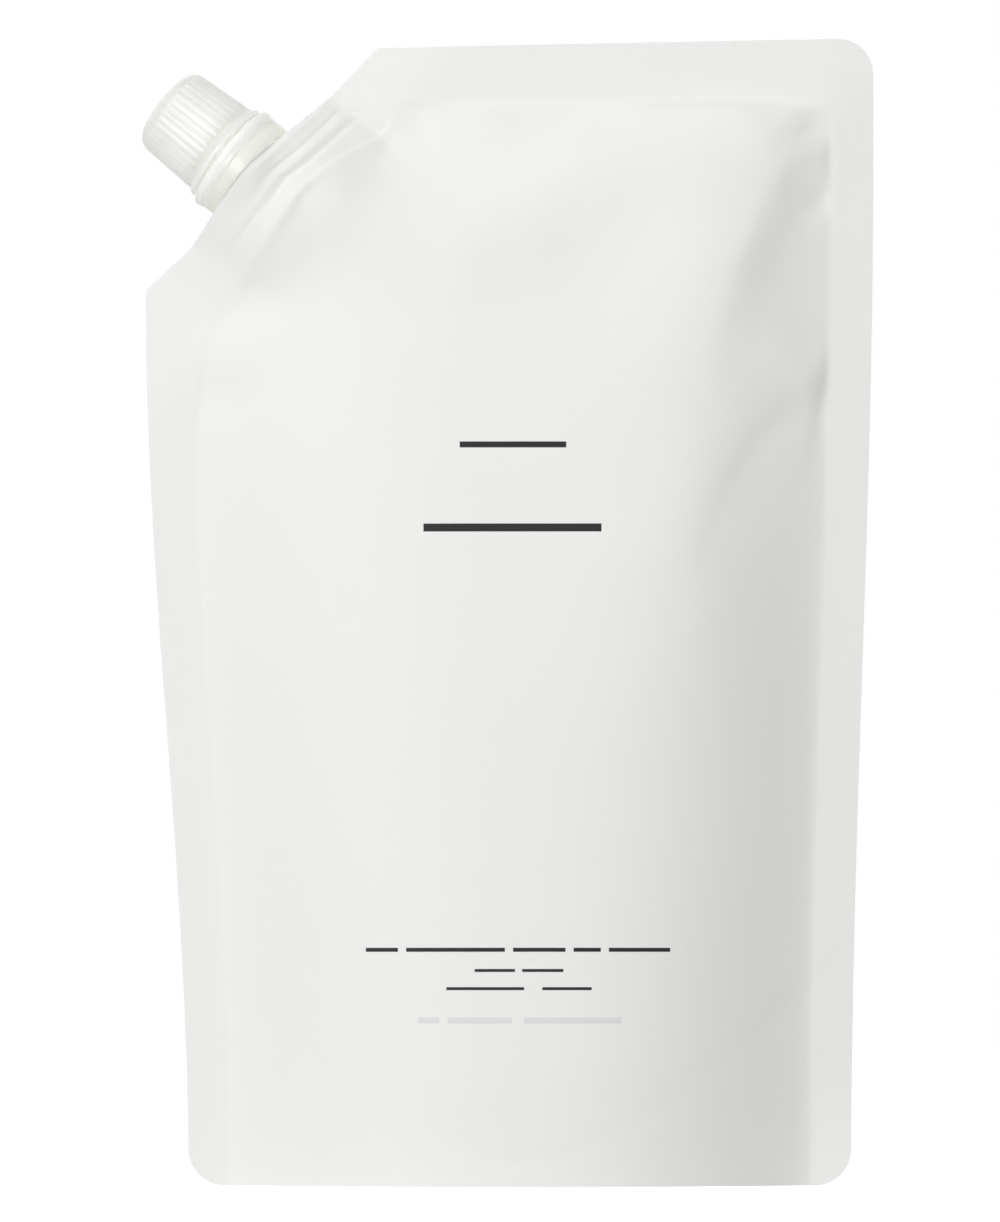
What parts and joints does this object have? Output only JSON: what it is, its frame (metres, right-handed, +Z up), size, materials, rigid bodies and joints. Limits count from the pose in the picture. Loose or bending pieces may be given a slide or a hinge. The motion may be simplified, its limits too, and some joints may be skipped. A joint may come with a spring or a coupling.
{
  "type": "hand soap refill pack",
  "caption": "Filled stand-up film pouch with a slanted screw spout in its cut corner, a tamper band and a ribbed cap that unscrews.",
  "frame": {"origin": "middle of the base on the surface the pack stands on", "axes": "+Z up, -Y out of the printed front, +X to the right as seen from the front"},
  "size_m": [0.166, 0.0474, 0.2598],
  "materials": {
    "film": "matte white laminate film, crimped at the seals",
    "spout_plastic": "natural moulded polyethylene, slightly translucent",
    "cap_plastic": "white moulded polypropylene, satin"
  },
  "bodies": {
    "pack": {"pouch": "film", "spout": "spout_plastic"},
    "band": {"tamper_band": "cap_plastic"},
    "cap": {"cap": "cap_plastic"}
  },
  "joints": [
    {"name": "cap_turn", "type": "hinge", "parent": "pack", "child": "band", "pos_m": [-0.06076, 0.00186, 0.22933], "axis": [-0.7776, 0.1132, 0.6185], "range_deg": [0, 900]},
    {"name": "cap_rise", "type": "slide", "parent": "band", "child": "cap", "axis": [-0.7776, 0.1132, 0.6185], "range_m": [0, 0.0075]}
  ],
  "couplings": [
    {"joint": "cap_turn", "follows": "cap_rise", "rad_per_m": 2094.4}
  ]
}
